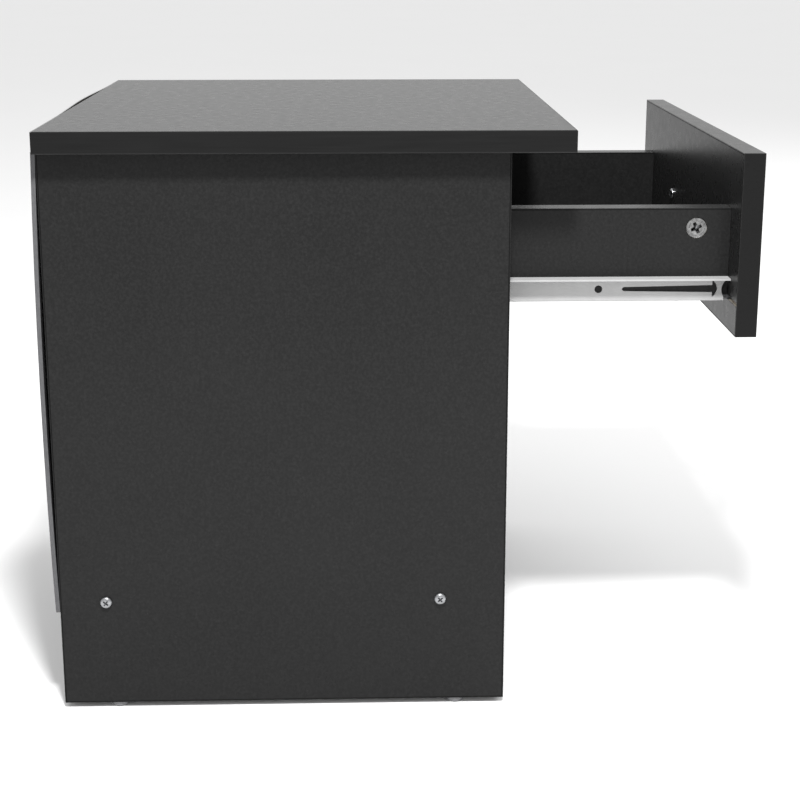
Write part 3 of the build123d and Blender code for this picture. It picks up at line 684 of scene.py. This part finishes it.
class TABLE_OT_boards(bpy.types.Operator):
    """Finishes the melamine boards, each with its bands and sawn faces where it has them"""

    bl_idname = "bedside.boards"
    bl_label = "Boards"

    def execute(self, context):
        settings = context.scene.bedside_boards
        for node in BOARDS:
            dress(melamine_material(node, settings), node)
        return {"FINISHED"}


# (node, how much paler its trimmed edge is, that edge's roughness): only the loose rear band is bent
BAND_RIMS = (("top_edge_bands", 1.0, 0.9), ("top_rear_edge_band", 25.0, 0.4))


class TABLE_OT_edge_bands(bpy.types.Operator):
    """Finishes the bands round the top"""

    bl_idname = "bedside.edge_bands"
    bl_label = "Edge bands"

    def execute(self, context):
        settings = context.scene.bedside_boards
        for node, rim, rim_roughness in BAND_RIMS:
            dress(band_material(node, settings, rim, rim_roughness), node)
        return {"FINISHED"}


class TABLE_OT_hardboard(bpy.types.Operator):
    """Finishes the hardboard back and drawer bottom"""

    bl_idname = "bedside.hardboard"
    bl_label = "Hardboard"

    def execute(self, context):
        settings = context.scene.bedside_boards
        dress(hardboard_material("Hardboard back", settings, Y, -1), "back_panel")
        dress(hardboard_material("Hardboard drawer bottom", settings, Z, 1), "drawer_bottom")
        return {"FINISHED"}


THREAD_PITCH = 1.6 * MM
SCREW_TIP = 3 * MM
SHELF_SCREW_SHANK = 2.0 * MM
HANDLE_SCREW_SHANK = 1.9 * MM
# how far each screw was turned home, in radians
SHELF_SCREW_TURNS = (0.72, 0.9, 0.55, 0.8)
HANDLE_SCREW_TURNS = (0.3, 0.95)
PAN_HEAD = (
    # (radius, height) as shares of the head's radius and rise, from the rim round the crown
    (0.0, -0.4),
    (0.93, -0.4),
    (0.97, 0.0),
    (1.0, 0.08),
    (1.0, 0.3),
    (0.985, 0.42),
    (0.94, 0.58),
    (0.86, 0.74),
    (0.74, 0.87),
    (0.56, 0.95),
    (0.3, 0.99),
    (0.0, 1.0),
)


def pan_screw(radius, rise, recess, turn, point, direction, shank_radius, length):
    """A pan-head screw with a tapered cross recess, its head standing on a surface at a point."""
    place = towards(point, direction, turn)
    data = bmesh.new()
    lathe(data, [(radius * r, rise * h) for r, h in PAN_HEAD], 72, place)
    crown = place @ Matrix.Translation((0, 0, rise))
    head = cut(data, cross_cutter(0.52 * radius, 0.25 * radius, recess, rise, crown))
    # the thread is drawn as rings, since the wood hides it
    shank = bmesh.new()
    profile = [(0.0, -0.4 * rise)]
    steps = max(int((length - SCREW_TIP) / THREAD_PITCH), 1)
    core = 0.72 * shank_radius
    for i in range(steps):
        base = -0.4 * rise - 0.2 * MM - i * THREAD_PITCH
        crest, root = base - 0.5 * THREAD_PITCH, base - 0.92 * THREAD_PITCH
        profile += [(core, base), (shank_radius, crest), (core, root)]
    profile.append((0.0, -length))
    lathe(shank, profile, 24, place)
    merge(head, shank)
    return head


def solid_boxes(node):
    """The bounding box of each loose solid of a CAD node, as (low, high) pairs."""
    data = bmesh.new()
    data.from_mesh(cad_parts[node].data)
    bmesh.ops.remove_doubles(data, verts=data.verts, dist=1e-6)
    data.verts.ensure_lookup_table()
    seen = set()
    boxes = []
    for start in data.verts:
        if start.index in seen:
            continue
        seen.add(start.index)
        queue = [start]
        low, high = start.co.copy(), start.co.copy()
        while queue:
            vert = queue.pop()
            low = Vector(map(min, low, vert.co))
            high = Vector(map(max, high, vert.co))
            for edge in vert.link_edges:
                other = edge.other_vert(vert)
                if other.index not in seen:
                    seen.add(other.index)
                    queue.append(other)
        boxes.append((low, high))
    data.free()
    return sorted(boxes, key=lambda box: tuple(round(v, 4) for v in box[0]))


class TABLE_OT_shelf_screws(bpy.types.Operator):
    """Makes the four pan-head screws that hold the shelf"""

    bl_idname = "bedside.shelf_screws"
    bl_label = "Shelf screws"

    def execute(self, context):
        settings = context.scene.bedside_fittings
        steel = metal_material("Zinc plated steel", settings.plated, 0.34, 0.6 * MM, 0.25, 0.18)
        data = bmesh.new()
        for (low, high), turn in zip(solid_boxes("shelf_screws"), SHELF_SCREW_TURNS):
            side = -1 if low.x < 0 else 1
            face = lo("side_panel_left").x if side < 0 else hi("side_panel_right").x
            outer = low.x if side < 0 else high.x
            point = Vector((face, (low.y + high.y) / 2, (low.z + high.z) / 2))
            radius = (high.z - low.z) / 2
            rise = abs(outer - face)
            length = (high.x - low.x) - rise
            way = (side, 0, 0)
            recess = settings.recess_depth
            screw = pan_screw(radius, rise, recess, turn, point, way, SHELF_SCREW_SHANK, length)
            merge(data, screw)
        new_piece("shelf_screw_set", data, steel, "cabinet", "zinc_steel", "shelf_screws")
        return {"FINISHED"}


class TABLE_OT_handle_screws(bpy.types.Operator):
    """Makes the two pan-head screws that hold the handle through the front"""

    bl_idname = "bedside.handle_screws"
    bl_label = "Handle screws"

    def execute(self, context):
        settings = context.scene.bedside_fittings
        steel = metal_material("Zinc plated steel bright", settings.plated, 0.2, 0.6 * MM, 0.2, 0.1)
        data = bmesh.new()
        back = hi("drawer_front").y
        for (low, high), turn in zip(solid_boxes("handle_screws"), HANDLE_SCREW_TURNS):
            point = Vector(((low.x + high.x) / 2, back, (low.z + high.z) / 2))
            radius = (high.z - low.z) / 2
            rise = high.y - back
            length = back - low.y
            recess = settings.recess_depth
            screw = pan_screw(radius, rise, recess, turn, point, (0, 1, 0), HANDLE_SCREW_SHANK, length)
            merge(data, screw)
        new_piece("handle_screw_set", data, steel, "drawer", "zinc_steel", "handle_screws")
        return {"FINISHED"}


def wedge_cutter(inner, outer, start, end, top, bottom, matrix):
    """A curved pocket between two radii and two angles, as a closed bmesh whose walls draw in
    towards its floor."""
    data = bmesh.new()
    steps = 10
    loops = []
    for height, draw in ((top, 0.0), (bottom, 0.18 * MM)):
        loop = []
        for radius, way in ((outer - draw, 1), (inner + draw, -1)):
            for i in range(steps + 1)[::way]:
                turn = start + (end - start) * i / steps
                spot = Vector((radius * math.cos(turn), radius * math.sin(turn), height))
                loop.append(data.verts.new(matrix @ spot))
        loops.append(loop)
    upper, lower = loops
    count = len(upper)
    for i in range(count):
        j = (i + 1) % count
        data.faces.new((upper[i], upper[j], lower[j], lower[i]))
    data.faces.new(upper)
    data.faces.new(lower)
    return data


CAM_RADIUS = 7.42
CAM_PROFILE = (
    # (radius, height) in millimetres, from the foot up the wall, over the cast rim and down to the
    # sunken face
    (0.0, -12.0),
    (6.9, -12.0),
    (7.25, -11.6),
    (CAM_RADIUS, -2.4),
    (CAM_RADIUS, -1.4),
    (7.16, -1.1),
    (7.16, -0.2),
    (7.1, -0.02),
    (6.95, 0.0),
    (6.75, -0.06),
    (6.6, -0.28),
    (6.3, -0.36),
    (4.0, -0.34),
    (3.7, -0.22),
    (0.0, -0.2),
)
CAM_TURN = math.radians(24)
# the first and last angle of each pocket in the cam's face, in radians, then the sizes of pockets
# and cross in the profile's millimetres
CAM_POCKETS = ((0.35, 1.2), (2.0, 2.75), (3.5, 4.35), (5.0, 5.9))
CAM_POCKET_RADII = (4.7, 6.1)
CAM_CROSS_REACH = 4.1
CAM_CROSS_WING = 2.3
CAM_CROSS_DEPTH = 8.5 * MM


class TABLE_OT_cam_locks(bpy.types.Operator):
    """Makes the die-cast cam in each drawer side, with its cast rim, pockets and cross recess"""

    bl_idname = "bedside.cam_locks"
    bl_label = "Drawer cam locks"

    def execute(self, context):
        settings = context.scene.bedside_fittings
        cast = metal_material("Die cast zinc, worn", settings.cast, 0.4, 0.8 * MM, 0.9, 0.42)
        data = bmesh.new()
        for low, high in solid_boxes("drawer_cam_locks"):
            side = -1 if low.x < 0 else 1
            face = low.x if side < 0 else high.x
            point = Vector((face, (low.y + high.y) / 2, (low.z + high.z) / 2))
            place = towards(point, (side, 0, 0), CAM_TURN)
            scale = (high.z - low.z) / (2 * CAM_RADIUS)
            cam = bmesh.new()
            lathe(cam, [(r * scale, h * MM) for r, h in CAM_PROFILE], 96, place)
            # the cast rim is uneven
            back = place.inverted()
            for vert in cam.verts:
                spot = back @ vert.co
                if spot.z > -1.0 * MM and spot.xy.length > 6.5 * scale:
                    turn = math.atan2(spot.y, spot.x)
                    dip = 0.5 + 0.3 * math.sin(5 * turn + 0.7) + 0.2 * math.sin(11 * turn + 2.0)
                    spot.z -= 0.16 * MM * dip
                    spot.xy *= 1 - 0.012 * dip
                    vert.co = place @ spot
            inner, outer = (radius * scale for radius in CAM_POCKET_RADII)
            for first, last in CAM_POCKETS:
                cam = cut(cam, wedge_cutter(inner, outer, first, last, 0.5 * MM, -1.1 * MM, place))
            reach, wing = CAM_CROSS_REACH * scale, CAM_CROSS_WING * scale
            merge(data, cut(cam, cross_cutter(reach, wing, CAM_CROSS_DEPTH, 0.6 * MM, place)))
        new_piece("drawer_cam_pair", data, cast, "drawer", "cam_zinc", "drawer_cam_locks")
        return {"FINISHED"}


class TABLE_OT_metalwork(bpy.types.Operator):
    """Finishes the runners, the handle, the top's cams and the small steel fittings"""

    bl_idname = "bedside.metalwork"
    bl_label = "Metalwork"

    def execute(self, context):
        settings = context.scene.bedside_fittings
        runner = coat_material("Powder coated steel", settings.runner, 0.34, 1.6 * MM, 1.5)
        dress(
            runner,
            "drawer_runner_left",
            "drawer_runner_right",
            "cabinet_runner_left",
            "cabinet_runner_right",
        )
        plated = metal_material("Zinc plated fixings", settings.plated, 0.3, 0.5 * MM, 0.25, 0.2)
        dress(
            plated,
            "cabinet_runner_screws",
            "drawer_runner_screws",
            "drawer_back_screws",
            "back_panel_nails",
            "drawer_bottom_nails",
            "glide_nails",
            "drawer_cam_bolts",
            "top_cam_bolts",
            "front_roller_rivets",
            "rear_roller_rivets",
        )
        dress(metal_material("Die cast zinc", settings.cast, 0.42, 0.9 * MM, 0.5, 0.3), "top_cam_locks")
        nickel = metal_material("Satin nickel", settings.nickel, 0.3, 0.4 * MM, 0.15, 0.06)
        dress(nickel, "handle")
        return {"FINISHED"}


class TABLE_OT_small_parts(bpy.types.Operator):
    """Finishes the rollers, glides and dowels"""

    bl_idname = "bedside.small_parts"
    bl_label = "Small parts"

    def execute(self, context):
        settings = context.scene.bedside_fittings
        nylon = coat_material("Nylon", linear("dedcd6"), 0.38, 0.5 * MM, 1.53, soft=0.25)
        dress(nylon, "front_roller_left", "front_roller_right", "rear_roller_left", "rear_roller_right")
        glide = coat_material("Polyethylene", settings.glide, 0.48, 0.8 * MM, 1.51)
        dress(glide, "glides")
        dress(beech_material(), "drawer_dowels", "top_dowels")
        return {"FINISHED"}


# the floor reaches far enough to read as a horizon
FLOOR_RADII = (0.0, 1.0, 3.0, 30.0)
# (name, its setting, width, place), in metres, from a point on the table's near side at this
# height: a small key high on the camera's side throws the top's crisp shadow, and a wide fill
# lights the front
LIT_HEIGHT = 0.24
LIGHTS = (
    ("Key light", "key", 0.17, (-0.62, 0.0, 1.13)),
    ("Fill light", "fill", 1.8, (1.5, -1.9, 1.5)),
)
# the camera's place along X, behind the side panel's front edge and above the floor
CAMERA_X = -1188.3 * MM
CAMERA_BEHIND = 103.0 * MM
CAMERA_HEIGHT = 541.9 * MM
CAMERA_PITCH = math.radians(13.46)
CAMERA_YAW = math.radians(-1.57)
CAMERA_SHIFT = -0.12


class TABLE_OT_studio(bpy.types.Operator):
    """Builds the floor, the lights and the camera"""

    bl_idname = "bedside.studio"
    bl_label = "Studio"

    def execute(self, context):
        scene = context.scene
        settings = scene.bedside_studio
        data = bmesh.new()
        lathe(data, [(radius, 0.0) for radius in FLOOR_RADII], 96, Matrix.Identity(4))
        mesh = bpy.data.meshes.new("floor")
        data.to_mesh(mesh)
        data.free()
        floor = bpy.data.objects.new("floor", mesh)
        scene.collection.objects.link(floor)
        # it lies under the glides
        floor.location.z = CAD_BOX[0][2]
        paper, tree, place = start_material("Matte paper floor")
        drift = add(tree, "TexNoise", {"Vector": place, "Scale": 2.0, "Detail": 2.0})
        tint = add(tree, "Mix", {FACTOR: drift, **shades(settings.floor, 0.985, 1.0)}, **COLOURS)
        matte = {"Base Color": tint, "Roughness": 0.9, "Specular IOR Level": 0.1}
        add(tree, "OutputMaterial", {"Surface": add(tree, "BsdfPrincipled", matte)})
        mesh.materials.append(paper)

        world = bpy.data.worlds.new("White room")
        world.use_nodes = True
        sky = world.node_tree.nodes["Background"]
        sky.inputs["Color"].default_value = (1, 1, 1, 1)
        sky.inputs["Strength"].default_value = settings.sky
        scene.world = world

        low, high = CAD_BOX
        target = Vector((low[0], (low[1] + high[1]) / 2, LIT_HEIGHT))
        for name, setting, size, offset in LIGHTS:
            lamp = bpy.data.lights.new(name, "AREA")
            lamp.shape = "DISK"
            lamp.size = size
            lamp.energy = getattr(settings, setting)
            light = bpy.data.objects.new(name, lamp)
            light.location = target + Vector(offset)
            light.rotation_euler = (-Vector(offset)).to_track_quat("-Z", "Y").to_euler()
            light.visible_camera = False
            scene.collection.objects.link(light)

        edge = lo("side_panel_left").y
        camera = bpy.data.objects.new("Camera", bpy.data.cameras.new("Camera"))
        camera.data.sensor_width = 36
        camera.data.lens = settings.lens
        camera.data.shift_y = CAMERA_SHIFT
        camera.data.clip_start = 0.05
        camera.location = (CAMERA_X, edge + CAMERA_BEHIND, CAMERA_HEIGHT)
        level, drop = math.cos(CAMERA_PITCH), math.sin(CAMERA_PITCH)
        ahead = Vector((level * math.cos(CAMERA_YAW), level * math.sin(CAMERA_YAW), -drop))
        camera.rotation_euler = ahead.to_track_quat("-Z", "Y").to_euler()
        scene.collection.objects.link(camera)
        scene.camera = camera
        scene.view_settings.view_transform = "Standard"
        return {"FINISHED"}


class TABLE_PT_panel(bpy.types.Panel):
    """Lists the bedside table's settings and the operators that build it"""

    bl_idname = "TABLE_PT_panel"
    bl_label = "Bedside table"
    bl_space_type = "VIEW_3D"
    bl_region_type = "UI"
    bl_category = "Bedside table"

    def draw(self, context):
        layout = self.layout
        for name in SETTINGS:
            group = getattr(context.scene, name)
            box = layout.box()
            for prop in group.bl_rna.properties:
                if prop.identifier not in ("rna_type", "name"):
                    box.prop(group, prop.identifier)
        for operator in OPERATORS:
            layout.operator(operator.bl_idname)


SETTINGS = {
    "bedside_boards": BoardSettings,
    "bedside_fittings": FittingSettings,
    "bedside_studio": StudioSettings,
}

OPERATORS = (
    TABLE_OT_studio,
    TABLE_OT_boards,
    TABLE_OT_edge_bands,
    TABLE_OT_hardboard,
    TABLE_OT_metalwork,
    TABLE_OT_small_parts,
    TABLE_OT_shelf_screws,
    TABLE_OT_handle_screws,
    TABLE_OT_cam_locks,
)

CLASSES = (*SETTINGS.values(), *OPERATORS, TABLE_PT_panel)


def register():
    """Adds the classes, and the settings to the scene."""
    for made in CLASSES:
        bpy.utils.register_class(made)
    for name, group in SETTINGS.items():
        setattr(bpy.types.Scene, name, PointerProperty(type=group))


def unregister():
    """Takes the settings and the classes away."""
    for name in SETTINGS:
        delattr(bpy.types.Scene, name)
    for made in reversed(CLASSES):
        bpy.utils.unregister_class(made)


def main():
    """Builds everything in order."""
    register()
    for operator in OPERATORS:
        category, name = operator.bl_idname.split(".")
        getattr(getattr(bpy.ops, category), name)()


if __name__ == "__main__":
    main()
